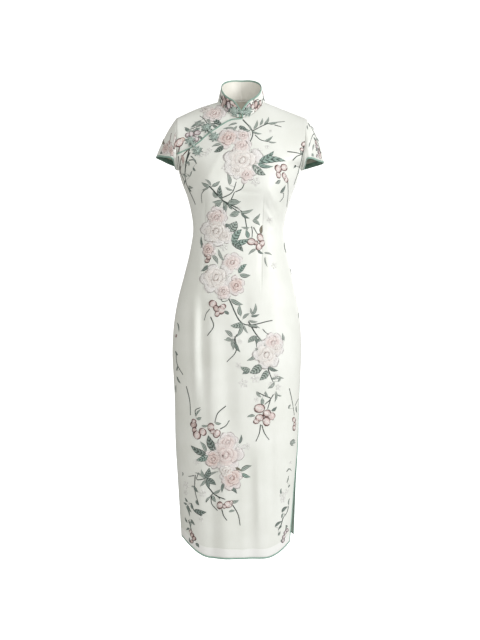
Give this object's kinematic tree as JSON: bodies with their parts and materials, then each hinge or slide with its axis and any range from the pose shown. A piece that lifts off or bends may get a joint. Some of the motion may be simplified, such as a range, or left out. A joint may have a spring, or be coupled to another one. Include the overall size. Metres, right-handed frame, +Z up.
{
  "type": "cheongsam dress",
  "caption": "Fitted mid-calf cheongsam in ivory satin with a stand collar, cap sleeves, slanted lap with frogs, bound edges and side slits, hollow as worn.",
  "frame": {"origin": "midway between the inner ends of the two shoulder seams, where the dress hangs from the wearer's shoulders", "axes": "+Z up; the front faces -Y; the wearer's left is at +X"},
  "size_m": [0.4461, 0.2331, 1.2541],
  "materials": {
    "satin": "smooth ivory satin with a faint mint cast, embroidered with flowers",
    "binding": "sage green satin bias strip",
    "frog_cord": "pale mint satin cord"
  },
  "bodies": {
    "root": {"front": "satin", "front_underlap": "satin", "back": "satin", "sleeve_left": "satin", "sleeve_right": "satin", "collar": "satin", "binding_collar": "binding", "binding_lap": "binding", "binding_sleeve_left": "binding", "binding_sleeve_right": "binding", "binding_front": "binding", "binding_back": "binding", "frog_1_flower_a": "frog_cord", "frog_1_flower_b": "frog_cord", "frog_1_knot": "frog_cord", "frog_2_flower_a": "frog_cord", "frog_2_flower_b": "frog_cord", "frog_2_knot": "frog_cord", "frog_3_flower_a": "frog_cord", "frog_3_flower_b": "frog_cord", "frog_3_knot": "frog_cord"}
  },
  "joints": []
}
